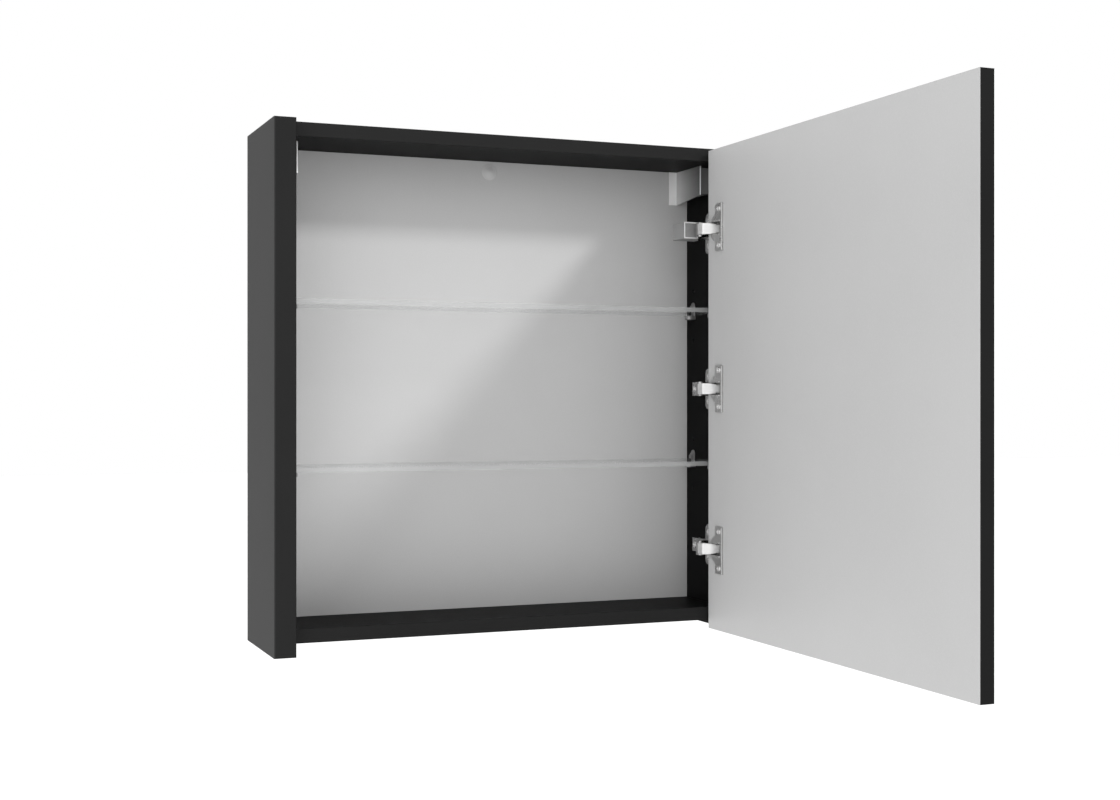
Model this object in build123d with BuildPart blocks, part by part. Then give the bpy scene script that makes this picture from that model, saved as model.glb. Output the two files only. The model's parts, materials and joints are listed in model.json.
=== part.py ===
from build123d import *
import os
from math import cos, sin, sqrt, atan2, degrees

os.makedirs("parts", exist_ok=True)

# Wall-hung bathroom mirror cabinet, one door hinged on the right, shown with the
# door open at a right angle.  Millimetres, +Z up, the front faces -Y and the wall
# plane is Y = 0.  The origin is on the rear face of the bottom panel, at its
# centre, so the side panels start BOTTOM_RAISE + half a panel below it.

# ---------------------------------------------------------------- carcass sizes
WIDTH = 600.0            # outside of side panel to outside of side panel
HEIGHT = 600.0           # side panels
DEPTH = 150.0            # wall plane to the front edges of the side panels
SIDE_T = 25.0            # side panel thickness
PANEL_T = 16.0           # top and bottom panel thickness
BOTTOM_RAISE = 11.5      # bottom panel is held up: finger grip under the door
SETBACK = 26.5           # top and bottom panels stop behind the door
BACK_T = 4.0             # back panel thickness
BACK_FRONT_Y = -18.5     # front face of the back panel
GROOVE = 8.0             # depth of the groove that holds the back panel
DOWEL_R = 4.0
DOWEL_LEN = 34.0
DOWEL_IN_SIDE = 12.0
DOWEL_Y = (-100.0, -65.0, -35.0)

XO = WIDTH / 2                       # outer face of a side panel
XI = XO - SIDE_T                     # inner face of a side panel
Z_LOW = -(BOTTOM_RAISE + PANEL_T / 2)
Z_HIGH = Z_LOW + HEIGHT
Z_FLOOR = PANEL_T / 2                # upper face of the bottom panel
Z_CEIL = Z_HIGH - PANEL_T            # lower face of the top panel
Z_TOP_MID = Z_HIGH - PANEL_T / 2
Y_FRONT = -DEPTH
Y_PANEL = -DEPTH + SETBACK           # front edges of the top and bottom panels
BACK_REAR_Y = BACK_FRONT_Y + BACK_T
PANEL_D = -Y_PANEL

# ---------------------------------------------------------------- shelf sizes
PIN_R = 2.5
PIN_DEPTH = 10.0
PITCH = 32.0
PEG_Z = (183.8, 375.8)               # holes the two shelves hang from
PIN_Y = (-101.5, -37.5)              # front and rear row of holes
GLASS_T = 6.0
GLASS_GAP = 1.5                      # glass end to side panel
GLASS_FRONT_Y = -120.0
GLASS_REAR_Y = -19.5
GLASS_UP = 0.2                       # glass underside above the hole centre

# ---------------------------------------------------------------- hinge sizes
HINGE_Z = (82.0, 280.5, 479.0)
CUP_R = 17.5
CUP_DEPTH = 12.5
CUP_WALL = 1.0
CUP_FLOOR = 0.8
CUP_LID = 1.0                        # top plate of the cup, round the slot
CUP_SLOT_S = (5.6, 36.0)                 # slot for the link, from the hinge edge
CUP_SLOT_HALF = 7.5
NOSE_S = 27.0                        # past this the slot also takes the arm nose
NOSE_HALF = 9.4
CUP_CENTRE = 22.0                    # cup centre to the hinge edge of the door
FLANGE_T = 2.7
FLANGE_FAR = 38.8                    # far edge of the flange to the hinge edge
PIN_S = 11.0                         # cup pin to the hinge edge of the door
PIN_D = 8.6                          # cup pin behind the inner face of the door
OPEN_X = 249.1                       # inner face of the door, open
OPEN_Y = -129.4                      # hinge edge of the door, open
ARM_PIN = (240.1, -123.9)            # arm pin, fixed to the cabinet
CUP_PIN = (OPEN_X + PIN_D, OPEN_Y - PIN_S)
ARM_PIN_R = 1.6
CUP_PIN_R = 1.5
RUN = 0.05                           # running clearance of the link on its pins

# ---------------------------------------------------------------- door sizes
DOOR_W = 543.8
DOOR_Z0 = -17.3
DOOR_Z1 = 576.7
CORE_T = 16.0                        # board between its faces, as thick as the edge band
BAND_T = 1.0
FACE_T = 0.5                         # laminate of the inner face, covers the band
BOARD_T = CORE_T + FACE_T
GLUE_T = 0.5
MIRROR_T = 3.0
MIRROR_IN = 1.0                      # mirror edge inside the door edge

DOOR_Y1 = OPEN_Y
DOOR_Y0 = OPEN_Y - DOOR_W
DOOR_H = DOOR_Z1 - DOOR_Z0
DOOR_ZM = (DOOR_Z0 + DOOR_Z1) / 2
DOOR_YM = (DOOR_Y0 + DOOR_Y1) / 2
CUP_Y = OPEN_Y - CUP_CENTRE
EAR_SCREW_Y = OPEN_Y - 31.5
EAR_SCREW_Z = 22.5
ARM_SCREW_Y = -80.0
ADJ_SCREW_Y = -93.0
PLATE_Y = -84.5
PLATE_SCREW_Z = 16.0
PLATE_T = 2.0
WEB_X = 256.5                        # outer face of the arm where it is screwed down

# every hole of one side: shelf pin holes at three heights around each shelf
pin_holes = [(y, peg + k * PITCH) for peg in PEG_Z for k in (-1, 0, 1) for y in PIN_Y]
dowel_holes = [(y, z) for z in (0.0, Z_TOP_MID) for y in DOWEL_Y]
plate_screws = [(PLATE_Y, hz + s * PLATE_SCREW_Z) for hz in HINGE_Z for s in (-1, 1)]
HANGER_SCREW = [(-76.0, 538.0), (-76.0, 554.0)]

# ================================================================ side panels
with BuildPart() as side_panel_left:
    with BuildSketch(Plane.YZ.offset(-XO)):
        with Locations((-DEPTH / 2, (Z_LOW + Z_HIGH) / 2)):
            Rectangle(DEPTH, HEIGHT)
    extrude(amount=SIDE_T)
    chamfer(side_panel_left.edges().filter_by(Axis.Z).group_by(Axis.Y)[0], 0.6)
    with BuildSketch(Plane.YZ.offset(-XI)):
        with Locations(((BACK_FRONT_Y + BACK_REAR_Y) / 2, (0 + Z_CEIL + GROOVE) / 2)):
            Rectangle(BACK_T, Z_CEIL + GROOVE)
    extrude(amount=-GROOVE, mode=Mode.SUBTRACT)
    with BuildSketch(Plane.YZ.offset(-XI)):
        with Locations(*pin_holes):
            Circle(PIN_R)
    extrude(amount=-PIN_DEPTH, mode=Mode.SUBTRACT)
    with BuildSketch(Plane.YZ.offset(-XI)):
        with Locations(*dowel_holes):
            Circle(DOWEL_R)
    extrude(amount=-DOWEL_IN_SIDE, mode=Mode.SUBTRACT)
    with BuildSketch(Plane.YZ.offset(-XI)):
        with Locations(*HANGER_SCREW):
            Circle(1.75)
    extrude(amount=-12, mode=Mode.SUBTRACT)
side_panel_left.part.label = "side_panel_left"
export_step(side_panel_left.part, "parts/side_panel_left.step")

with BuildPart() as side_panel_right:
    with BuildSketch(Plane.YZ.offset(XI)):
        with Locations((-DEPTH / 2, (Z_LOW + Z_HIGH) / 2)):
            Rectangle(DEPTH, HEIGHT)
    extrude(amount=SIDE_T)
    chamfer(side_panel_right.edges().filter_by(Axis.Z).group_by(Axis.Y)[0], 0.6)
    with BuildSketch(Plane.YZ.offset(XI)):
        with Locations(((BACK_FRONT_Y + BACK_REAR_Y) / 2, (0 + Z_CEIL + GROOVE) / 2)):
            Rectangle(BACK_T, Z_CEIL + GROOVE)
    extrude(amount=GROOVE, mode=Mode.SUBTRACT)
    with BuildSketch(Plane.YZ.offset(XI)):
        with Locations(*pin_holes):
            Circle(PIN_R)
    extrude(amount=PIN_DEPTH, mode=Mode.SUBTRACT)
    with BuildSketch(Plane.YZ.offset(XI)):
        with Locations(*dowel_holes):
            Circle(DOWEL_R)
    extrude(amount=DOWEL_IN_SIDE, mode=Mode.SUBTRACT)
    with BuildSketch(Plane.YZ.offset(XI)):
        with Locations(*HANGER_SCREW):
            Circle(1.75)
        with Locations(*plate_screws):
            Circle(1.75)
    extrude(amount=12, mode=Mode.SUBTRACT)
side_panel_right.part.label = "side_panel_right"
export_step(side_panel_right.part, "parts/side_panel_right.step")

# ================================================================ top and bottom
with BuildPart() as top_panel:
    with BuildSketch(Plane.XY.offset(Z_CEIL)):
        with Locations((0, Y_PANEL / 2)):
            Rectangle(2 * XI, PANEL_D)
    extrude(amount=PANEL_T)
    with BuildSketch(Plane.XY.offset(Z_CEIL)):
        with Locations((0, (BACK_FRONT_Y + BACK_REAR_Y) / 2)):
            Rectangle(2 * XI, BACK_T)
    extrude(amount=GROOVE, mode=Mode.SUBTRACT)
    with BuildSketch(Plane.YZ.offset(-XI)):
        with Locations(*[(y, Z_TOP_MID) for y in DOWEL_Y]):
            Circle(DOWEL_R)
    extrude(amount=DOWEL_LEN - DOWEL_IN_SIDE, mode=Mode.SUBTRACT)
    with BuildSketch(Plane.YZ.offset(XI)):
        with Locations(*[(y, Z_TOP_MID) for y in DOWEL_Y]):
            Circle(DOWEL_R)
    extrude(amount=-(DOWEL_LEN - DOWEL_IN_SIDE), mode=Mode.SUBTRACT)
top_panel.part.label = "top_panel"
export_step(top_panel.part, "parts/top_panel.step")

with BuildPart() as bottom_panel:
    with BuildSketch(Plane.XY.offset(-PANEL_T / 2)):
        with Locations((0, Y_PANEL / 2)):
            Rectangle(2 * XI, PANEL_D)
    extrude(amount=PANEL_T)
    with BuildSketch(Plane.XY.offset(Z_FLOOR)):
        with Locations((0, (BACK_FRONT_Y + BACK_REAR_Y) / 2)):
            Rectangle(2 * XI, BACK_T)
    extrude(amount=-GROOVE, mode=Mode.SUBTRACT)
    with BuildSketch(Plane.YZ.offset(-XI)):
        with Locations(*[(y, 0) for y in DOWEL_Y]):
            Circle(DOWEL_R)
    extrude(amount=DOWEL_LEN - DOWEL_IN_SIDE, mode=Mode.SUBTRACT)
    with BuildSketch(Plane.YZ.offset(XI)):
        with Locations(*[(y, 0) for y in DOWEL_Y]):
            Circle(DOWEL_R)
    extrude(amount=-(DOWEL_LEN - DOWEL_IN_SIDE), mode=Mode.SUBTRACT)
bottom_panel.part.label = "bottom_panel"
export_step(bottom_panel.part, "parts/bottom_panel.step")

# wooden dowels between the side panels and the top and bottom panels
with BuildPart() as joint_dowels:
    with BuildSketch(Plane.YZ.offset(-XI - DOWEL_IN_SIDE)):
        with Locations(*dowel_holes):
            Circle(DOWEL_R)
    extrude(amount=DOWEL_LEN)
    with BuildSketch(Plane.YZ.offset(XI + DOWEL_IN_SIDE)):
        with Locations(*dowel_holes):
            Circle(DOWEL_R)
    extrude(amount=-DOWEL_LEN)
joint_dowels.part.label = "joint_dowels"
export_step(joint_dowels.part, "parts/joint_dowels.step")

# ================================================================ back panel
CAP_X, CAP_Z = -1.0, 551.5
SLOT_Z0, SLOT_Z1 = 530.0, 560.0
SLOT_X0, SLOT_X1 = 263.5, 271.5
with BuildPart() as back_panel:
    with BuildSketch(Plane.XZ.offset(-BACK_FRONT_Y)):
        with Locations((0, (Z_CEIL + GROOVE) / 2)):
            Rectangle(2 * (XI + GROOVE), Z_CEIL + GROOVE)
    extrude(amount=-BACK_T)
    with BuildSketch(Plane.XZ.offset(-BACK_FRONT_Y)):
        with Locations((CAP_X, CAP_Z)):
            Circle(5)
        with Locations(((SLOT_X0 + SLOT_X1) / 2, (SLOT_Z0 + SLOT_Z1) / 2),
                       (-(SLOT_X0 + SLOT_X1) / 2, (SLOT_Z0 + SLOT_Z1) / 2)):
            Rectangle(SLOT_X1 - SLOT_X0, SLOT_Z1 - SLOT_Z0)
    extrude(amount=-BACK_T, mode=Mode.SUBTRACT)
back_panel.part.label = "back_panel"
export_step(back_panel.part, "parts/back_panel.step")

# plastic blanking cap pressed into the back panel under the top panel
CAP_R, CAP_H, CAP_RIM = 10.0, 1.9, 0.3
with BuildPart() as back_panel_cap:
    with BuildSketch(Plane.XY.offset(CAP_Z)):
        with BuildLine():
            dome = Spline((CAP_X, BACK_FRONT_Y - CAP_H), (CAP_X + CAP_R, BACK_FRONT_Y - CAP_RIM),
                          tangents=((1, 0), (1, 0)))
            Polyline(dome @ 1, (CAP_X + CAP_R, BACK_FRONT_Y), (CAP_X, BACK_FRONT_Y), dome @ 0)
        make_face()
    revolve(axis=Axis((CAP_X, 0, CAP_Z), (0, 1, 0)))
    with BuildSketch(Plane.XZ.offset(-BACK_FRONT_Y)):
        with Locations((CAP_X, CAP_Z)):
            Circle(5)
    extrude(amount=-BACK_T)
back_panel_cap.part.label = "back_panel_cap"
export_step(back_panel_cap.part, "parts/back_panel_cap.step")

# ================================================================ glass shelves
with BuildPart() as glass_shelf_lower:
    with BuildSketch(Plane.XY.offset(PEG_Z[0] + GLASS_UP)):
        with Locations((0, (GLASS_FRONT_Y + GLASS_REAR_Y) / 2)):
            Rectangle(2 * (XI - GLASS_GAP), GLASS_REAR_Y - GLASS_FRONT_Y)
    extrude(amount=GLASS_T)
    chamfer(glass_shelf_lower.edges().filter_by(Axis.X), 0.4)
glass_shelf_lower.part.label = "glass_shelf_lower"
export_step(glass_shelf_lower.part, "parts/glass_shelf_lower.step")

with BuildPart() as glass_shelf_upper:
    with BuildSketch(Plane.XY.offset(PEG_Z[1] + GLASS_UP)):
        with Locations((0, (GLASS_FRONT_Y + GLASS_REAR_Y) / 2)):
            Rectangle(2 * (XI - GLASS_GAP), GLASS_REAR_Y - GLASS_FRONT_Y)
    extrude(amount=GLASS_T)
    chamfer(glass_shelf_upper.edges().filter_by(Axis.X), 0.4)
glass_shelf_upper.part.label = "glass_shelf_upper"
export_step(glass_shelf_upper.part, "parts/glass_shelf_upper.step")

# nickel shelf holders: peg in the side panel, back plate, a round lug under the
# glass and a finger above it that stops the glass from tipping
PAD_T = 0.5
LUG_H = 4.4
for peg_z, tag in ((PEG_Z[0], "lower"), (PEG_Z[1], "upper")):
    with BuildPart() as shelf_supports:
        for y in PIN_Y:
            for side in (-1, 1):
                with BuildSketch(Plane.YZ.offset(side * XI)):
                    with Locations((y, peg_z)):
                        Circle(PIN_R)
                extrude(amount=side * (PIN_DEPTH - 0.5))
                with BuildSketch(Plane.YZ.offset(side * XI)):
                    with Locations((y, peg_z + 4.25)):
                        Rectangle(9, 17.9)
                    with Locations((y, peg_z + 13.2)):
                        Circle(4.5)
                extrude(amount=-side * 1.2)
                with BuildSketch(Plane.XY.offset(peg_z + GLASS_UP - PAD_T)):
                    with Locations((side * (XI - 3.0), y)):
                        Rectangle(6, 12)
                    with Locations((side * (XI - 6.0), y)):
                        Circle(6)
                extrude(amount=-LUG_H)
                with BuildSketch(Plane.XZ.offset(-y + 3)):
                    zt = peg_z + GLASS_UP + GLASS_T + 0.3
                    with BuildLine():
                        Polyline((side * (XI - 1.2), zt), (side * (XI - 5.2), zt),
                                 (side * (XI - 5.2), zt + 3.5), (side * (XI - 1.2), zt + 9.5),
                                 close=True)
                    make_face()
                extrude(amount=-6)
    shelf_supports.part.label = "shelf_supports_" + tag
    export_step(shelf_supports.part, "parts/shelf_supports_" + tag + ".step")

# clear pads between the lugs and the glass
with BuildPart() as shelf_support_pads:
    for peg_z in PEG_Z:
        with BuildSketch(Plane.XY.offset(peg_z + GLASS_UP)):
            with Locations(*[(side * (XI - 7.0), y) for side in (-1, 1) for y in PIN_Y]):
                Circle(4.2)
        extrude(amount=-PAD_T)
shelf_support_pads.part.label = "shelf_support_pads"
export_step(shelf_support_pads.part, "parts/shelf_support_pads.step")

# ================================================================ wall hangers
# steel hanger in each upper rear corner: a housing screwed to the side panel, a
# hook through the back panel, and a light plastic cover that snaps over it
COVER_W, COVER_WALL = 16.0, 1.8
COVER_Y0 = -87.0
COVER_Z0F, COVER_Z0R = 527.5, 521.5
FLANGE_W = 11.0
for side, tag in ((-1, "left"), (1, "right")):
    with BuildPart() as hanger_housing:
        with BuildSketch(Plane.YZ.offset(side * XI)):
            with Locations((-52.35, 545.5)):
                Rectangle(65.7, 31)
        extrude(amount=-side * 2.0)
        # plain front plate, in front of the adjusting screws
        with BuildSketch(Plane.XZ.offset(85.2)):
            with Locations((side * (XI - 6.85), 546.0)):
                Rectangle(13.7, 33)
        extrude(amount=-1.5)
        with BuildSketch(Plane.YZ.offset(side * (XI - 2.0))):
            with Locations((-42.0, 545.5)):
                Rectangle(38, 27)
        extrude(amount=-side * 9.0)
        # hook channel, screw holes
        with BuildSketch(Plane.XZ.offset(40.0)):
            with Locations((side * (XI - 7.5), 546.0)):
                Rectangle(3.4, 20.4)
        extrude(amount=-30, mode=Mode.SUBTRACT)
        with BuildSketch(Plane.YZ.offset(side * XI)):
            with Locations(*HANGER_SCREW):
                Circle(1.75)
        extrude(amount=-side * 2.0, mode=Mode.SUBTRACT)
        with BuildSketch(Plane.XZ.offset(61.0)):
            with Locations((side * (XI - 7.0), 539.0), (side * (XI - 7.0), 552.0)):
                Circle(2.5)
        extrude(amount=-12, mode=Mode.SUBTRACT)
    hanger_housing.part.label = "hanger_housing_" + tag
    export_step(hanger_housing.part, "parts/hanger_housing_" + tag + ".step")

    # cover: a plate, open in front and below, with a flange on the back panel
    with BuildPart() as hanger_cover:
        with BuildSketch(Plane.YZ.offset(side * (XI - COVER_W))):
            with BuildLine():
                Polyline((COVER_Y0, COVER_Z0F), (BACK_FRONT_Y, COVER_Z0R),
                         (BACK_FRONT_Y, Z_CEIL), (COVER_Y0, Z_CEIL), close=True)
            make_face()
        extrude(amount=side * COVER_WALL)
        front = hanger_cover.edges().group_by(Axis.Y)[0]
        fillet(front.filter_by(Axis.Z), 0.7)
        with BuildSketch(Plane.XZ.offset(-BACK_FRONT_Y)):
            with Locations((side * (XI - COVER_W - FLANGE_W / 2 + 0.5), (COVER_Z0R + Z_CEIL) / 2)):
                Rectangle(FLANGE_W + 1.0, Z_CEIL - COVER_Z0R)
        extrude(amount=1.5)
        # tabs that snap onto the housing
        with BuildSketch(Plane.YZ.offset(side * (XI - COVER_W + COVER_WALL))):
            with Locations((-50.0, 538.0), (-50.0, 553.0), (-32.0, 538.0), (-32.0, 553.0)):
                Rectangle(7, 2.5)
        extrude(amount=side * (COVER_W - COVER_WALL - 11.0))
    hanger_cover.part.label = "hanger_cover_" + tag
    export_step(hanger_cover.part, "parts/hanger_cover_" + tag + ".step")

# steel hooks that reach through the back panel, nose turned down behind it
with BuildPart() as hanger_hooks:
    for side in (-1, 1):
        with BuildSketch(Plane.YZ.offset(side * (XI - 6.0))):
            with BuildLine():
                Polyline((-39.8, 536.0), (-39.8, 556.0), (-3.0, 556.0), (-3.0, 534.0),
                         (-6.0, 534.0), (-6.0, 546.0), (-12.0, 546.0), (-12.0, 536.0), close=True)
            make_face()
        extrude(amount=-side * 3.0)
hanger_hooks.part.label = "hanger_hooks"
export_step(hanger_hooks.part, "parts/hanger_hooks.step")

# screws that hold the hangers to the side panels
with BuildPart() as hanger_screws:
    for side in (-1, 1):
        with BuildSketch(Plane.YZ.offset(side * (XI - 2.0))):
            with Locations(*HANGER_SCREW):
                Circle(1.75)
        extrude(amount=side * 13.5)
        with BuildSketch(Plane.YZ.offset(side * (XI - 2.0))):
            with Locations(*HANGER_SCREW):
                Circle(3.6)
        extrude(amount=-side * 1.4)
hanger_screws.part.label = "hanger_screws"
export_step(hanger_screws.part, "parts/hanger_screws.step")

# the height and the wall-distance screw of each hanger
with BuildPart() as hanger_adjusters:
    for side in (-1, 1):
        with BuildSketch(Plane.XZ.offset(61.0)):
            with Locations((side * (XI - 7.0), 539.0), (side * (XI - 7.0), 552.0)):
                Circle(2.5)
        extrude(amount=-12)
        with BuildSketch(Plane.XZ.offset(61.0)):
            with Locations((side * (XI - 7.0), 539.0), (side * (XI - 7.0), 552.0)):
                Circle(3.6)
        extrude(amount=3)
        with BuildSketch(Plane.XZ.offset(64.0)):
            for zz in (539.0, 552.0):
                with Locations((side * (XI - 7.0), zz)):
                    Rectangle(4.4, 1.0)
                    Rectangle(1.0, 4.4)
        extrude(amount=-1.5, mode=Mode.SUBTRACT)
hanger_adjusters.part.label = "hanger_adjusters"
export_step(hanger_adjusters.part, "parts/hanger_adjusters.step")

# ================================================================ hinges, cabinet side
WEB_T = 1.3
CHEEK_IN = 7.3
CHEEK_OUT = 8.5
for hz, tag in zip(HINGE_Z, ("bottom", "middle", "top")):
    # winged mounting plate with the raised block the arm is screwed to
    with BuildPart() as hinge_plate:
        with BuildSketch(Plane.YZ.offset(XI)):
            with Locations((PLATE_Y, hz)):
                RectangleRounded(19, 51.5, 7)
        extrude(amount=-PLATE_T)
        with BuildSketch(Plane.YZ.offset(XI - PLATE_T)):
            with Locations((-86.5, hz)):
                Rectangle(27, 13.6)
        extrude(amount=-(XI - PLATE_T - WEB_X - WEB_T))
        with BuildSketch(Plane.YZ.offset(XI)):
            with Locations((PLATE_Y, hz - PLATE_SCREW_Z), (PLATE_Y, hz + PLATE_SCREW_Z)):
                Circle(1.75)
        extrude(amount=-PLATE_T, mode=Mode.SUBTRACT)
        with BuildSketch(Plane.YZ.offset(WEB_X + WEB_T)):
            with Locations((ARM_SCREW_Y, hz)):
                Circle(2.5)
            with Locations((ADJ_SCREW_Y, hz)):
                Circle(2.0)
        extrude(amount=9, mode=Mode.SUBTRACT)
    hinge_plate.part.label = "hinge_plate_" + tag
    export_step(hinge_plate.part, "parts/hinge_plate_" + tag + ".step")

    # cranked arm: a channel, open towards the side panel, with a fork at its nose
    with BuildPart() as hinge_arm:
        with BuildSketch(Plane.XY.offset(hz - CHEEK_OUT)):
            with BuildLine():
                Polyline((236.6, ARM_PIN[1]), (236.6, -119.8), (WEB_X, -111.0), (WEB_X, -71.0),
                         (265.0, -71.0), (265.0, -115.5), (246.0, -121.5),
                         (243.6, ARM_PIN[1]), close=True)
            make_face()
            with Locations(ARM_PIN):
                Circle(3.5)
        extrude(amount=2 * CHEEK_OUT)
        with BuildSketch(Plane.XY.offset(hz - CHEEK_IN)):
            with BuildLine():
                Polyline((230.0, -124.1), (WEB_X + WEB_T, -111.85), (WEB_X + WEB_T, -60.0),
                         (275.0, -60.0), (275.0, -135.0), (230.0, -135.0), close=True)
            make_face()
        extrude(amount=2 * CHEEK_IN, mode=Mode.SUBTRACT)
        with BuildSketch(Plane.XY.offset(hz - CHEEK_OUT)):
            with Locations(ARM_PIN):
                Circle(ARM_PIN_R)
        extrude(amount=2 * CHEEK_OUT, mode=Mode.SUBTRACT)
        with BuildSketch(Plane.YZ.offset(WEB_X)):
            with Locations((ARM_SCREW_Y, hz)):
                Circle(2.5)
            with Locations((ADJ_SCREW_Y, hz)):
                Circle(2.0)
        extrude(amount=WEB_T, mode=Mode.SUBTRACT)
    hinge_arm.part.label = "hinge_arm_" + tag
    export_step(hinge_arm.part, "parts/hinge_arm_" + tag + ".step")

with BuildPart() as hinge_plate_screws:
    with BuildSketch(Plane.YZ.offset(XI - PLATE_T)):
        with Locations(*plate_screws):
            Circle(1.75)
    extrude(amount=PLATE_T + 11.5)
    with BuildSketch(Plane.YZ.offset(XI - PLATE_T)):
        with Locations(*plate_screws):
            Circle(3.6)
    extrude(amount=-1.3)
    with BuildSketch(Plane.YZ.offset(XI - PLATE_T - 1.3)):
        for p in plate_screws:
            with Locations(p):
                Rectangle(4.4, 1.0)
                Rectangle(1.0, 4.4)
    extrude(amount=0.9, mode=Mode.SUBTRACT)
hinge_plate_screws.part.label = "hinge_plate_screws"
export_step(hinge_plate_screws.part, "parts/hinge_plate_screws.step")

with BuildPart() as arm_fixing_screws:
    with BuildSketch(Plane.YZ.offset(WEB_X)):
        with Locations(*[(ARM_SCREW_Y, hz) for hz in HINGE_Z]):
            Circle(2.5)
    extrude(amount=WEB_T + 9)
    with BuildSketch(Plane.YZ.offset(WEB_X)):
        with Locations(*[(ARM_SCREW_Y, hz) for hz in HINGE_Z]):
            Circle(4.0)
    extrude(amount=-2.0)
    with BuildSketch(Plane.YZ.offset(WEB_X - 2.0)):
        for hz in HINGE_Z:
            with Locations((ARM_SCREW_Y, hz)):
                Rectangle(5.0, 1.1)
                Rectangle(1.1, 5.0)
    extrude(amount=1.3, mode=Mode.SUBTRACT)
arm_fixing_screws.part.label = "arm_fixing_screws"
export_step(arm_fixing_screws.part, "parts/arm_fixing_screws.step")

with BuildPart() as arm_adjusting_screws:
    with BuildSketch(Plane.YZ.offset(WEB_X)):
        with Locations(*[(ADJ_SCREW_Y, hz) for hz in HINGE_Z]):
            Circle(2.0)
    extrude(amount=WEB_T + 8)
    with BuildSketch(Plane.YZ.offset(WEB_X)):
        with Locations(*[(ADJ_SCREW_Y, hz) for hz in HINGE_Z]):
            Circle(3.2)
    extrude(amount=-1.6)
    with BuildSketch(Plane.YZ.offset(WEB_X - 1.6)):
        for hz in HINGE_Z:
            with Locations((ADJ_SCREW_Y, hz)):
                Rectangle(4.0, 0.9)
                Rectangle(0.9, 4.0)
    extrude(amount=1.0, mode=Mode.SUBTRACT)
arm_adjusting_screws.part.label = "arm_adjusting_screws"
export_step(arm_adjusting_screws.part, "parts/arm_adjusting_screws.step")

with BuildPart() as arm_pins:
    for hz in HINGE_Z:
        with BuildSketch(Plane.XY.offset(hz - CHEEK_OUT - 0.4)):
            with Locations(ARM_PIN):
                Circle(ARM_PIN_R)
        extrude(amount=2 * CHEEK_OUT + 0.8)
arm_pins.part.label = "arm_pins"
export_step(arm_pins.part, "parts/arm_pins.step")

# soft-close damper clipped beside the arm of the top hinge
HT = HINGE_Z[2]
DAMP_X, DAMP_Y0, DAMP_Y1, DAMP_Z = 224.0, -109.5, -76.0, 10.3
CLIP_X1 = 243.6                      # inner end of the damper end piece
with BuildPart() as soft_close_damper:
    with BuildSketch(Plane.XY.offset(HT - DAMP_Z + 0.3)):
        with BuildLine():
            Polyline((DAMP_X + 0.6, DAMP_Y0), (CLIP_X1, DAMP_Y0), (WEB_X, -86.5), (WEB_X, DAMP_Y1),
                     (DAMP_X + 4.0, DAMP_Y1), (DAMP_X + 0.6, DAMP_Y1 - 3.4), close=True)
        make_face()
    extrude(amount=2 * (DAMP_Z - 0.3))
    chamfer(soft_close_damper.edges().filter_by(Axis.Y), 0.5)
    with BuildSketch(Plane.YZ.offset(WEB_X)):
        with Locations((ARM_SCREW_Y, HT)):
            Circle(4.4)
        with Locations((ADJ_SCREW_Y, HT)):
            Circle(3.6)
    extrude(amount=-2.4, mode=Mode.SUBTRACT)
soft_close_damper.part.label = "soft_close_damper"
export_step(soft_close_damper.part, "parts/soft_close_damper.step")

# plated end piece of the damper, a shallow tray that faces the front
with BuildPart() as damper_clip:
    with BuildSketch(Plane.XZ.offset(-DAMP_Y0)):
        with Locations(((DAMP_X + CLIP_X1) / 2, HT)):
            RectangleRounded(CLIP_X1 - DAMP_X, 2 * DAMP_Z, 1.0)
    extrude(amount=2.5)
    with BuildSketch(Plane.XZ.offset(-DAMP_Y0 + 2.5)):
        with Locations(((DAMP_X + CLIP_X1) / 2, HT)):
            RectangleRounded(CLIP_X1 - DAMP_X - 3.2, 2 * DAMP_Z - 3.2, 0.8)
    extrude(amount=-1.5, mode=Mode.SUBTRACT)
damper_clip.part.label = "damper_clip"
export_step(damper_clip.part, "parts/damper_clip.step")

# ================================================================ hinge links
# goose-necked link from the arm pin, round the rim of the cup, to the cup pin
for hz, tag in zip(HINGE_Z, ("bottom", "middle", "top")):
    with BuildPart() as hinge_link:
        with BuildSketch(Plane.XY.offset(hz - 7.0)):
            with BuildLine():
                Polyline((236.9, ARM_PIN[1]), (236.9, -135.8), (238.2, -137.2),
                         (CUP_PIN[0] - 0.92, CUP_PIN[1] - 2.75),
                         (CUP_PIN[0], CUP_PIN[1] + 2.6), (247.0, -137.4), (243.3, -135.0),
                         (243.3, ARM_PIN[1]), close=True)
            make_face()
            with Locations(ARM_PIN):
                Circle(3.2)
            with Locations(CUP_PIN):
                Circle(2.9)
        extrude(amount=14.0)
        with BuildSketch(Plane.XZ.offset(160)):
            with BuildLine():
                Polyline((230.0, hz - 6.9), (243.0, hz - 6.7), (252.4, hz - 5.8),
                         (253.6, hz - 4.75), (265.0, hz - 4.75), (265.0, hz + 4.75),
                         (253.6, hz + 4.75), (252.4, hz + 5.8), (243.0, hz + 6.7),
                         (230.0, hz + 6.9), close=True)
            make_face()
        extrude(amount=-60, mode=Mode.INTERSECT)
        with BuildSketch(Plane.XY.offset(hz - 7.0)):
            with Locations(ARM_PIN):
                Circle(ARM_PIN_R + RUN)
            with Locations(CUP_PIN):
                Circle(CUP_PIN_R + RUN)
        extrude(amount=14.0, mode=Mode.SUBTRACT)
    hinge_link.part.label = "hinge_link_" + tag
    export_step(hinge_link.part, "parts/hinge_link_" + tag + ".step")

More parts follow.
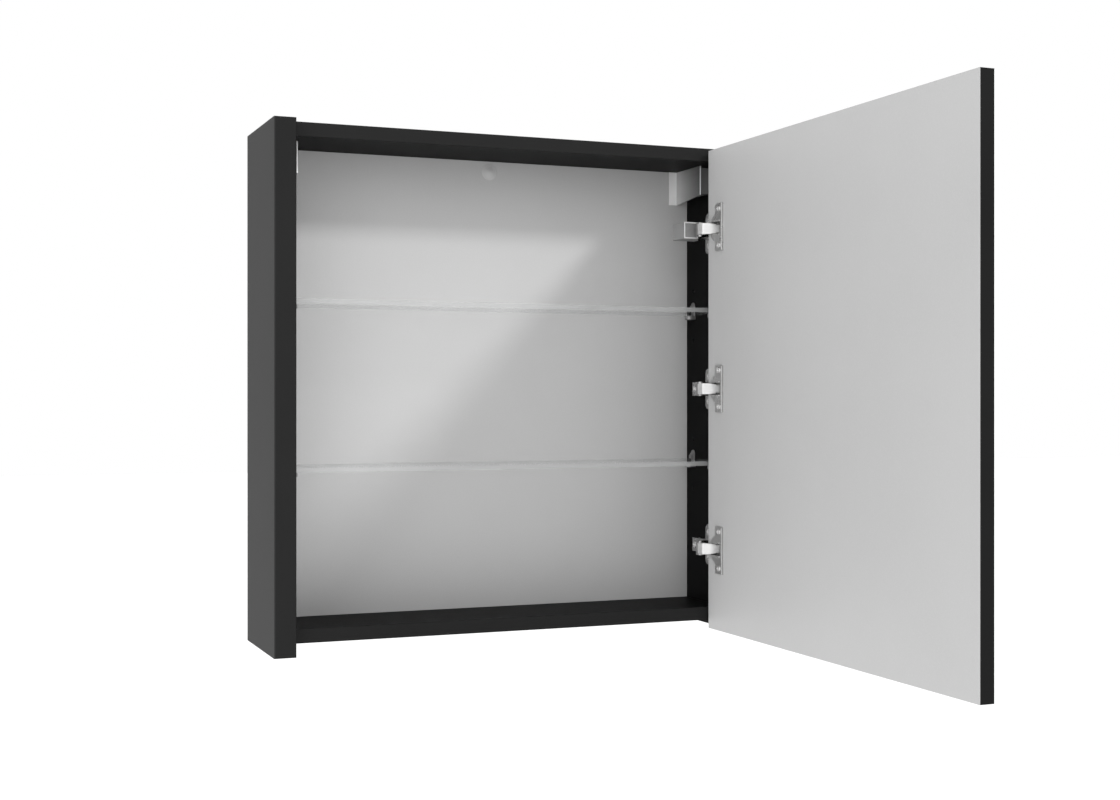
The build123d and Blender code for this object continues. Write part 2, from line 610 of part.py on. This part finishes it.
# ================================================================ hinges, door side
for hz, tag in zip(HINGE_Z, ("bottom", "middle", "top")):
    with BuildPart() as hinge_cup:
        # flange: thick stamped plate with two screw ears and a sloped middle
        with BuildSketch(Plane.YZ.offset(OPEN_X)) as flange_sk:
            with BuildLine():
                Polyline((OPEN_Y - FLANGE_FAR, hz + 29), (OPEN_Y - 22.1, hz + 29),
                         (OPEN_Y - 22.1, hz + 17.5), (OPEN_Y - 11.5, hz + 8.5),
                         (OPEN_Y - 11.5, hz - 8.5), (OPEN_Y - 22.1, hz - 17.5),
                         (OPEN_Y - 22.1, hz - 29), (OPEN_Y - FLANGE_FAR, hz - 29), close=True)
            make_face()
            corners = flange_sk.vertices().group_by(Axis.Z)
            fillet(corners[0].sort_by(Axis.Y)[-1:] + corners[-1].sort_by(Axis.Y)[-1:], 3.5)
        extrude(amount=-FLANGE_T)
        chamfer(hinge_cup.faces().sort_by(Axis.X)[0].outer_wire().edges(), 0.35)
        # cup with a closed top plate
        with BuildSketch(Plane.YZ.offset(OPEN_X)):
            with Locations((CUP_Y, hz)):
                Circle(CUP_R)
        extrude(amount=CUP_DEPTH)
        with BuildSketch(Plane.YZ.offset(OPEN_X + CUP_LID)):
            with Locations((CUP_Y, hz)):
                Circle(CUP_R - CUP_WALL)
        extrude(amount=CUP_DEPTH - CUP_LID - CUP_FLOOR, mode=Mode.SUBTRACT)
        # slot for the link, wider where the arm nose dips in when the door is shut
        with BuildSketch(Plane.YZ.offset(OPEN_X - FLANGE_T)):
            with Locations((OPEN_Y - (CUP_SLOT_S[0] + CUP_SLOT_S[1]) / 2, hz)):
                Rectangle(CUP_SLOT_S[1] - CUP_SLOT_S[0], 2 * CUP_SLOT_HALF)
        extrude(amount=FLANGE_T + CUP_LID, mode=Mode.SUBTRACT)
        with BuildSketch(Plane.YZ.offset(OPEN_X - FLANGE_T)):
            with Locations((OPEN_Y - (NOSE_S + CUP_SLOT_S[1]) / 2, hz)):
                Rectangle(CUP_SLOT_S[1] - NOSE_S, 2 * NOSE_HALF)
        extrude(amount=FLANGE_T, mode=Mode.SUBTRACT)
        # two bosses that hold the cup pin
        for s in (-1, 1):
            with BuildSketch(Plane.YZ.offset(OPEN_X + CUP_DEPTH - CUP_FLOOR)):
                with Locations((CUP_PIN[1], hz + s * 7.7)):
                    Rectangle(6.0, 5.3)
            extrude(amount=-6.0)
        with BuildSketch(Plane.XY.offset(hz - 9.5)):
            with Locations(CUP_PIN):
                Circle(CUP_PIN_R)
        extrude(amount=19.0, mode=Mode.SUBTRACT)
        with BuildSketch(Plane.YZ.offset(OPEN_X - FLANGE_T)):
            with Locations((EAR_SCREW_Y, hz - EAR_SCREW_Z), (EAR_SCREW_Y, hz + EAR_SCREW_Z)):
                Circle(1.75)
        extrude(amount=FLANGE_T, mode=Mode.SUBTRACT)
    hinge_cup.part.label = "hinge_cup_" + tag
    export_step(hinge_cup.part, "parts/hinge_cup_" + tag + ".step")

with BuildPart() as cup_pins:
    for hz in HINGE_Z:
        with BuildSketch(Plane.XY.offset(hz - 9.5)):
            with Locations(CUP_PIN):
                Circle(CUP_PIN_R)
        extrude(amount=19.0)
cup_pins.part.label = "cup_pins"
export_step(cup_pins.part, "parts/cup_pins.step")

ear_screws = [(EAR_SCREW_Y, hz + s * EAR_SCREW_Z) for hz in HINGE_Z for s in (-1, 1)]
with BuildPart() as cup_screws:
    with BuildSketch(Plane.YZ.offset(OPEN_X - FLANGE_T)):
        with Locations(*ear_screws):
            Circle(1.75)
    extrude(amount=FLANGE_T + 12)
    with BuildSketch(Plane.YZ.offset(OPEN_X - FLANGE_T)):
        with Locations(*ear_screws):
            Circle(3.4)
    extrude(amount=-1.2)
    with BuildSketch(Plane.YZ.offset(OPEN_X - FLANGE_T - 1.2)):
        for p in ear_screws:
            with Locations(p):
                Rectangle(4.2, 0.9)
                Rectangle(0.9, 4.2)
    extrude(amount=0.8, mode=Mode.SUBTRACT)
cup_screws.part.label = "cup_screws"
export_step(cup_screws.part, "parts/cup_screws.step")

# ================================================================ door
with BuildPart() as door_board:
    with BuildSketch(Plane.YZ.offset(OPEN_X)):
        with Locations((DOOR_YM, DOOR_ZM)):
            Rectangle(DOOR_W, DOOR_H)
    extrude(amount=FACE_T)
    with BuildSketch(Plane.YZ.offset(OPEN_X + FACE_T)):
        with Locations((DOOR_YM, DOOR_ZM)):
            Rectangle(DOOR_W - 2 * BAND_T, DOOR_H - 2 * BAND_T)
    extrude(amount=BOARD_T - FACE_T)
    with BuildSketch(Plane.YZ.offset(OPEN_X)):
        with Locations(*[(CUP_Y, hz) for hz in HINGE_Z]):
            Circle(CUP_R)
    extrude(amount=CUP_DEPTH, mode=Mode.SUBTRACT)
    with BuildSketch(Plane.YZ.offset(OPEN_X)):
        with Locations(*ear_screws):
            Circle(1.75)
    extrude(amount=12.5, mode=Mode.SUBTRACT)
door_board.part.label = "door_board"
export_step(door_board.part, "parts/door_board.step")

# edge band all round the board
with BuildPart() as door_edge_band:
    with BuildSketch(Plane.YZ.offset(OPEN_X + FACE_T)):
        with Locations((DOOR_YM, DOOR_ZM)):
            Rectangle(DOOR_W, DOOR_H)
            Rectangle(DOOR_W - 2 * BAND_T, DOOR_H - 2 * BAND_T, mode=Mode.SUBTRACT)
    extrude(amount=BOARD_T - FACE_T)
door_edge_band.part.label = "door_edge_band"
export_step(door_edge_band.part, "parts/door_edge_band.step")

# film of adhesive between the board and the mirror
with BuildPart() as mirror_adhesive:
    with BuildSketch(Plane.YZ.offset(OPEN_X + BOARD_T)):
        with Locations((DOOR_YM, DOOR_ZM)):
            Rectangle(DOOR_W - 12, DOOR_H - 12)
    extrude(amount=GLUE_T)
mirror_adhesive.part.label = "mirror_adhesive"
export_step(mirror_adhesive.part, "parts/mirror_adhesive.step")

with BuildPart() as door_mirror:
    with BuildSketch(Plane.YZ.offset(OPEN_X + BOARD_T + GLUE_T)):
        with Locations((DOOR_YM, DOOR_ZM)):
            Rectangle(DOOR_W - 2 * MIRROR_IN, DOOR_H - 2 * MIRROR_IN)
    extrude(amount=MIRROR_T)
    chamfer(door_mirror.faces().sort_by(Axis.X)[-1].edges(), 0.8)
door_mirror.part.label = "door_mirror"
export_step(door_mirror.part, "parts/door_mirror.step")
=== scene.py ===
import json
import math

import bpy
import bmesh
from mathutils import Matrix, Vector

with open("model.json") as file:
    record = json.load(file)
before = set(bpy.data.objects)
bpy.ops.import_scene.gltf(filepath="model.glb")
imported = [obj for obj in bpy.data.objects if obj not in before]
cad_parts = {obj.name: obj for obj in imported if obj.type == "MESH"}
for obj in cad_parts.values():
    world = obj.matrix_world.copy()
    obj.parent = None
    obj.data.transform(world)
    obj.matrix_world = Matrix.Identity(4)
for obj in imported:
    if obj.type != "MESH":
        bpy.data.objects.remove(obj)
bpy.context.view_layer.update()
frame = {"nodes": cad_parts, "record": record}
nodes = frame["nodes"]
scene = bpy.context.scene


# ------------------------------------------------------------------ materials
class Mat:
    """A principled material whose colour, roughness and relief come from nodes."""

    def __init__(self, name):
        self.m = bpy.data.materials.new(name)
        self.m.use_nodes = True
        self.nt = self.m.node_tree
        self.nt.nodes.clear()
        self.out = self.nt.nodes.new("ShaderNodeOutputMaterial")
        self.p = self.nt.nodes.new("ShaderNodeBsdfPrincipled")
        self.nt.links.new(self.p.outputs[0], self.out.inputs["Surface"])
        self.tc = self.nt.nodes.new("ShaderNodeTexCoord")

    def n(self, kind, **kw):
        node = self.nt.nodes.new(kind)
        for k, v in kw.items():
            if k in node.inputs:
                node.inputs[k].default_value = v
            else:
                setattr(node, k, v)
        return node

    def link(self, a, b):
        self.nt.links.new(a, b)

    def coords(self, scale=(1, 1, 1)):
        mp = self.n("ShaderNodeMapping")
        mp.inputs["Scale"].default_value = scale
        self.link(self.tc.outputs["Object"], mp.inputs["Vector"])
        return mp.outputs["Vector"]

    def noise(self, scale, detail=4.0, rough=0.5, stretch=(1, 1, 1)):
        t = self.n("ShaderNodeTexNoise")
        t.inputs["Scale"].default_value = scale
        t.inputs["Detail"].default_value = detail
        t.inputs["Roughness"].default_value = rough
        self.link(self.coords(stretch), t.inputs["Vector"])
        return t.outputs["Fac"]

    def span(self, fac, lo, hi, frm=(0.3, 0.7)):
        r = self.n("ShaderNodeMapRange")
        r.inputs["From Min"].default_value, r.inputs["From Max"].default_value = frm
        r.inputs["To Min"].default_value, r.inputs["To Max"].default_value = lo, hi
        self.link(fac, r.inputs["Value"])
        return r.outputs["Result"]

    def mix(self, fac, a, b):
        x = self.n("ShaderNodeMix", data_type="RGBA")
        self.link(fac, x.inputs["Factor"])
        for sock, v in ((x.inputs[6], a), (x.inputs[7], b)):
            if isinstance(v, (tuple, list)):
                sock.default_value = (*v, 1.0) if len(v) == 3 else v
            else:
                self.link(v, sock)
        return x.outputs[2]

    def relief(self, fac, distance, strength=0.3, edge=0.0):
        b = self.n("ShaderNodeBump")
        b.inputs["Strength"].default_value = strength
        b.inputs["Distance"].default_value = distance
        self.link(fac, b.inputs["Height"])
        if edge:
            e = self.n("ShaderNodeBevel", samples=6)
            e.inputs["Radius"].default_value = edge
            self.link(e.outputs["Normal"], b.inputs["Normal"])
        self.link(b.outputs["Normal"], self.p.inputs["Normal"])

    def set(self, **kw):
        for k, v in kw.items():
            self.p.inputs[k.replace("_", " ")].default_value = v


def grey(v, tint=(1, 1, 1)):
    return (v * tint[0], v * tint[1], v * tint[2])


def laminate(name, lo, hi, rough, grain=900.0, depth=0.00012, edge=0.0006, specular=0.5):
    """Smooth board laminate: faint clouding, a fine pressed grain, softly broken edges."""
    m = Mat(name)
    cloud = m.noise(6.0, 3.0, 0.5)
    speck = m.noise(grain, 2.0, 0.6)
    base = m.mix(m.span(cloud, 0.0, 1.0), grey(lo), grey(hi))
    fine = m.mix(m.span(speck, 0.0, 0.35, (0.45, 0.75)), base, grey(hi * 1.12))
    m.link(fine, m.p.inputs["Base Color"])
    m.link(m.span(speck, rough[0], rough[1]), m.p.inputs["Roughness"])
    m.relief(speck, depth, 0.25, edge)
    m.set(Specular_IOR_Level=specular)
    return m.m


def plastic(name, lo, hi, rough, grain=1400.0, edge=0.0009, specular=0.5):
    """Injection moulded plastic with a spark-eroded grain."""
    m = Mat(name)
    cell = m.n("ShaderNodeTexVoronoi")
    cell.inputs["Scale"].default_value = grain
    m.link(m.coords(), cell.inputs["Vector"])
    cloud = m.noise(25.0, 3.0, 0.55)
    m.link(m.mix(m.span(cloud, 0.0, 1.0), grey(lo), grey(hi)), m.p.inputs["Base Color"])
    m.link(m.span(cell.outputs["Distance"], rough[0], rough[1], (0.0, 0.8)), m.p.inputs["Roughness"])
    m.relief(cell.outputs["Distance"], 0.00008, 0.3, edge)
    m.set(Specular_IOR_Level=specular)
    return m.m


def metal(name, lo, hi, rough, brush=(40, 40, 900), tint=(1, 0.998, 0.994), edge=0.0005, depth=0.00003, metallic=1.0):
    """Plated stamped steel: fine drawing lines, cloudy plating, softly rounded edges."""
    m = Mat(name)
    lines = m.noise(1.0, 5.0, 0.65, brush)
    cloud = m.noise(60.0, 4.0, 0.55)
    a = m.mix(m.span(lines, 0.0, 1.0), grey(lo, tint), grey(hi, tint))
    b = m.mix(m.span(cloud, 0.0, 0.45), a, grey(lo * 0.86, tint))
    m.link(b, m.p.inputs["Base Color"])
    m.link(m.span(cloud, rough[0], rough[1]), m.p.inputs["Roughness"])
    m.relief(lines, depth, 0.25, edge)
    m.set(Metallic=metallic)
    return m.m


def carcass():
    """Black carcass board: matt laminate inside; a painted sheen lightens the outer side faces and the front edges.
    """
    m = Mat("carcass_black")
    cloud = m.noise(6.0, 3.0, 0.5)
    speck = m.noise(900.0, 2.0, 0.6)
    pos = m.n("ShaderNodeSeparateXYZ")
    m.link(m.tc.outputs["Object"], pos.inputs[0])
    nor = m.n("ShaderNodeSeparateXYZ")
    m.link(m.tc.outputs["Normal"], nor.inputs[0])
    ax = m.n("ShaderNodeMath", operation="ABSOLUTE")
    m.link(pos.outputs["X"], ax.inputs[0])
    # masks for the outer side faces and the front-facing faces, which carry the painted sheen
    outer = m.span(ax.outputs[0], 0.0, 1.0, (0.2985, 0.2995))
    front = m.span(nor.outputs["Y"], 1.0, 0.0, (-0.95, -0.6))
    inside = m.mix(m.span(cloud, 0.0, 1.0), grey(BLACK_IN * 0.9), grey(BLACK_IN * 1.1))
    # painted sheen: lighter copies of the board colour on the front edges and the outer side faces, standing in for
    # the light they catch
    edges = m.mix(m.span(cloud, 0.0, 1.0), grey(BLACK_FRONT_PAINTED_SHEEN * 0.93), grey(BLACK_FRONT_PAINTED_SHEEN * 1.07))
    painted_sheen_outer = m.mix(m.span(cloud, 0.0, 1.0), grey(BLACK_OUT_PAINTED_SHEEN * 0.95), grey(BLACK_OUT_PAINTED_SHEEN * 1.05))
    base = m.mix(outer, m.mix(front, inside, edges), painted_sheen_outer)
    fine = m.mix(m.span(speck, 0.0, 0.2, (0.45, 0.75)), base, grey(0.03))
    m.link(fine, m.p.inputs["Base Color"])
    m.link(m.span(speck, 0.46, 0.58), m.p.inputs["Roughness"])
    m.relief(speck, 0.0001, 0.25, 0.0006)
    m.set(Specular_IOR_Level=0.035)
    return m.m


# board colours: inside, front edges with painted sheen, outer side faces with painted sheen
BLACK_IN, BLACK_FRONT_PAINTED_SHEEN, BLACK_OUT_PAINTED_SHEEN = 0.0044, 0.0157, 0.0405
M = {}
M["carcass_black"] = carcass()
M["edge_band_black"] = laminate("edge_band_black", 0.0076, 0.0094, (0.46, 0.56), 1300.0, specular=0.05, edge=0.0005)
M["back_panel_grey"] = laminate("back_panel_grey", 0.463, 0.484, (0.42, 0.55), 700.0, 0.00008, specular=0.3)
M["door_face_grey"] = laminate("door_face_grey", 0.496, 0.514, (0.4, 0.52), 700.0, 0.00008, specular=0.3)
M["cap_plastic"] = plastic("cap_plastic", 0.5, 0.53, (0.34, 0.46))
M["damper_plastic"] = plastic("damper_plastic", 0.29, 0.32, (0.5, 0.6))
M["hinge_nickel"] = metal("hinge_nickel", 0.44, 0.52, (0.22, 0.34))
M["cup_nickel"] = metal("cup_nickel", 0.52, 0.62, (0.24, 0.36), brush=(40, 700, 40))
M["link_nickel"] = metal("link_nickel", 0.80, 0.88, (0.42, 0.52), metallic=0.6)
M["support_nickel"] = metal("support_nickel", 0.26, 0.34, (0.42, 0.55), brush=(300, 40, 40), metallic=0.8)
M["screw_steel"] = metal("screw_steel", 0.82, 0.92, (0.2, 0.32), brush=(500, 500, 500))
M["pin_steel"] = metal("pin_steel", 0.45, 0.55, (0.25, 0.35))
M["hanger_steel"] = metal("hanger_steel", 0.15, 0.19, (0.5, 0.6), brush=(60, 60, 60), metallic=0.15)


def glass():
    """Clear shelf glass: see-through faces with faint smears, frosted ground edges."""
    m = Mat("shelf_glass")
    smudge = m.noise(9.0, 5.0, 0.6)
    ground = m.noise(1500.0, 3.0, 0.6)
    nor = m.n("ShaderNodeSeparateXYZ")
    m.link(m.tc.outputs["Normal"], nor.inputs[0])
    az = m.n("ShaderNodeMath", operation="ABSOLUTE")
    m.link(nor.outputs["Z"], az.inputs[0])
    face = m.span(az.outputs[0], 0.0, 1.0, (0.35, 0.9))
    clear = m.mix(m.span(smudge, 0.0, 1.0), (0.86, 0.88, 0.875), (0.9, 0.915, 0.91))
    rim = m.mix(m.span(ground, 0.0, 1.0), (0.39, 0.395, 0.393), (0.45, 0.456, 0.454))
    m.link(m.mix(face, rim, clear), m.p.inputs["Base Color"])
    front = m.span(nor.outputs["Y"], 1.0, 0.0, (-0.9, -0.3))
    rim_alpha = m.n("ShaderNodeMix", data_type="FLOAT")
    m.link(front, rim_alpha.inputs[0])
    m.link(m.span(ground, 0.07, 0.12), rim_alpha.inputs[2])
    m.link(m.span(ground, 0.46, 0.54), rim_alpha.inputs[3])
    al = m.n("ShaderNodeMix", data_type="FLOAT")
    m.link(face, al.inputs[0])
    m.link(rim_alpha.outputs[0], al.inputs[2])
    m.link(m.span(smudge, 0.03, 0.07), al.inputs[3])
    m.link(al.outputs[0], m.p.inputs["Alpha"])
    ro = m.n("ShaderNodeMix", data_type="FLOAT")
    m.link(face, ro.inputs[0])
    m.link(m.span(ground, 0.35, 0.5), ro.inputs[2])
    m.link(m.span(smudge, 0.01, 0.05), ro.inputs[3])
    m.link(ro.outputs[0], m.p.inputs["Roughness"])
    m.set(IOR=1.5, Specular_IOR_Level=0.25)
    return m.m


def mirror():
    """Silvered glass: mirror on the two faces, pale ground glass on the four edges."""
    m = Mat("mirror_glass")
    sep = m.n("ShaderNodeSeparateXYZ")
    m.link(m.tc.outputs["Normal"], sep.inputs[0])
    ab = m.n("ShaderNodeMath", operation="ABSOLUTE")
    m.link(sep.outputs["X"], ab.inputs[0])
    face = m.span(ab.outputs[0], 0.0, 1.0, (0.86, 0.92))
    ground = m.noise(1800.0, 2.0, 0.6)
    haze = m.noise(2.5, 3.0, 0.5)
    silver = m.mix(m.span(haze, 0.0, 1.0), (0.87, 0.885, 0.88), (0.89, 0.9, 0.895))
    edge = m.mix(m.span(ground, 0.0, 1.0), (0.78, 0.8, 0.79), (0.9, 0.91, 0.9))
    m.link(m.mix(face, edge, silver), m.p.inputs["Base Color"])
    m.link(face, m.p.inputs["Metallic"])
    r1 = m.span(ground, 0.3, 0.5)
    r = m.n("ShaderNodeMix", data_type="FLOAT")
    m.link(face, r.inputs[0])
    m.link(r1, r.inputs[2])
    m.link(m.span(haze, 0.004, 0.02), r.inputs[3])
    m.link(r.outputs[0], m.p.inputs["Roughness"])
    return m.m


def clear_pad():
    m = Mat("clear_pad")
    c = m.noise(500.0, 2.0, 0.5)
    m.link(m.mix(m.span(c, 0.0, 1.0), (0.75, 0.77, 0.77), (0.85, 0.86, 0.86)), m.p.inputs["Base Color"])
    m.link(m.span(c, 0.3, 0.45), m.p.inputs["Roughness"])
    m.set(Transmission_Weight=0.6, IOR=1.45)
    return m.m


def wood():
    m = Mat("dowel_wood")
    g = m.noise(1.0, 6.0, 0.6, (60, 900, 900))
    m.link(m.mix(m.span(g, 0.0, 1.0), (0.42, 0.29, 0.17), (0.58, 0.43, 0.27)), m.p.inputs["Base Color"])
    m.link(m.span(g, 0.5, 0.65), m.p.inputs["Roughness"])
    m.relief(g, 0.0001, 0.3)
    return m.m


def adhesive():
    m = Mat("adhesive")
    c = m.noise(80.0, 4.0, 0.6)
    m.link(m.mix(m.span(c, 0.0, 1.0), (0.6, 0.6, 0.58), (0.72, 0.72, 0.7)), m.p.inputs["Base Color"])
    m.link(m.span(c, 0.5, 0.7), m.p.inputs["Roughness"])
    m.relief(c, 0.0002, 0.3)
    return m.m


def cover():
    """Plated hanger cover: satin grey faces with a painted reflection that darkens towards the front, and a painted
    highlight on the front edge.
    """
    m = Mat("cover_plated")
    cloud = m.noise(60.0, 4.0, 0.55)
    lines = m.noise(1.0, 5.0, 0.65, (60, 60, 700))
    pos = m.n("ShaderNodeSeparateXYZ")
    m.link(m.tc.outputs["Object"], pos.inputs[0])
    nor = m.n("ShaderNodeSeparateXYZ")
    m.link(m.tc.outputs["Normal"], nor.inputs[0])
    # painted reflection: lighter grey at the rear and dark grey at the front, standing in for the back panel and
    # black side panel the cover mirrors
    painted_reflection_rear = m.mix(m.span(cloud, 0.0, 1.0), grey(0.5), grey(0.54))
    painted_reflection_fore = m.mix(m.span(cloud, 0.0, 1.0), grey(0.11), grey(0.13))
    face = m.mix(m.span(pos.outputs["Y"], 0.0, 1.0, (-0.086, -0.03)), painted_reflection_fore, painted_reflection_rear)
    drawn = m.mix(m.span(lines, 0.0, 0.12), face, grey(0.42))
    # painted highlight: front-facing faces are painted near white for the studio light they reflect
    front = m.span(nor.outputs["Y"], 1.0, 0.0, (-0.7, -0.15))
    m.link(m.mix(front, drawn, grey(0.95)), m.p.inputs["Base Color"])
    m.link(m.span(cloud, 0.38, 0.5), m.p.inputs["Roughness"])
    m.relief(lines, 0.00003, 0.25, 0.0004)
    m.set(Metallic=0.35)
    return m.m


def clip():
    """Stamped damper end piece: a painted highlight on the front rim and painted shade on the recess behind it."""
    m = Mat("clip_nickel")
    cloud = m.noise(120.0, 4.0, 0.55)
    lines = m.noise(1.0, 5.0, 0.65, (40, 40, 900))
    pos = m.n("ShaderNodeSeparateXYZ")
    m.link(m.tc.outputs["Object"], pos.inputs[0])
    # painted highlight and painted shade: the same nickel is near white in front of the rim line and dark grey behind
    # it
    rim = m.mix(m.span(cloud, 0.0, 1.0), grey(0.7), grey(0.8))
    painted_shade_recess = m.mix(m.span(cloud, 0.0, 1.0), grey(0.24), grey(0.3))
    face = m.mix(m.span(pos.outputs["Y"], 0.0, 1.0, (-0.1118, -0.1113)), rim, painted_shade_recess)
    m.link(m.mix(m.span(lines, 0.0, 0.12), face, grey(0.42)), m.p.inputs["Base Color"])
    m.link(m.span(cloud, 0.4, 0.5), m.p.inputs["Roughness"])
    m.relief(lines, 0.00003, 0.25, 0.0003)
    m.set(Metallic=0.45)
    return m.m


M["clip_nickel"] = clip()
M["cover_plated"] = cover()
M["shelf_glass"] = glass()
M["mirror_glass"] = mirror()
M["clear_pad"] = clear_pad()
M["dowel_wood"] = wood()
M["adhesive"] = adhesive()

slot_of = {s["node"]: s["material_slot"] for s in frame["record"]["subparts"]}
for name, o in nodes.items():
    mat = M[slot_of[name]]
    if not o.material_slots:
        o.data.materials.append(mat)
    for s in o.material_slots:
        s.material = mat

# ------------------------------------------------------------------ floor
floor_mesh = bpy.data.meshes.new("floor")
bm = bmesh.new()
bmesh.ops.create_grid(bm, x_segments=2, y_segments=2, size=60.0)
bm.to_mesh(floor_mesh)
bm.free()
floor = bpy.data.objects.new("floor", floor_mesh)
floor.location = (0.0, 0.0, -2.6)
scene.collection.objects.link(floor)
fl = Mat("floor_pale")
fn = fl.noise(0.6, 2.0, 0.5)
fl.link(fl.mix(fl.span(fn, 0.0, 1.0), (0.93, 0.93, 0.93), (0.94, 0.94, 0.94)), fl.p.inputs["Base Color"])
fl.set(Roughness=0.9, Specular_IOR_Level=0.1)
floor_mesh.materials.append(fl.m)

# ------------------------------------------------------------------ light
world = bpy.data.worlds.new("studio")
world.use_nodes = True
bg = world.node_tree.nodes["Background"]
bg.inputs["Color"].default_value = (1, 1, 1, 1)
bg.inputs["Strength"].default_value = 1.0
scene.world = world

aim = Vector((0.0, -0.1, 0.28))
travel = Vector((-0.85, 1.0, -0.89)).normalized()
key = bpy.data.lights.new("key", "SUN")
key.energy = 1.53
key.angle = math.radians(7.5)
key_o = bpy.data.objects.new("key", key)
key_o.location = aim - travel * 4.0
key_o.rotation_mode = "QUATERNION"
key_o.rotation_quaternion = travel.to_track_quat("-Z", "Y")
scene.collection.objects.link(key_o)

fill_travel = Vector((0.62, 1.0, -0.14)).normalized()
fill = bpy.data.lights.new("fill", "SUN")
fill.energy = 0.78
fill.angle = math.radians(70.0)
fill_o = bpy.data.objects.new("fill", fill)
fill_o.location = aim - fill_travel * 4.0
fill_o.rotation_mode = "QUATERNION"
fill_o.rotation_quaternion = fill_travel.to_track_quat("-Z", "Y")
scene.collection.objects.link(fill_o)

# ------------------------------------------------------------------ camera
cam = bpy.data.cameras.new("camera")
cam.sensor_width = 36.0
cam.sensor_fit = "HORIZONTAL"
cam.lens = 51.316
cam.clip_start, cam.clip_end = 0.05, 200.0
cam_o = bpy.data.objects.new("camera", cam)
cam_o.location = (-0.67439, -1.90084, 0.2677)
cam_o.rotation_euler = (math.radians(90.0 - 0.034), 0.0, math.radians(-22.22))
scene.collection.objects.link(cam_o)
scene.camera = cam_o

scene.view_settings.view_transform = "Standard"
scene.view_settings.look = "None"
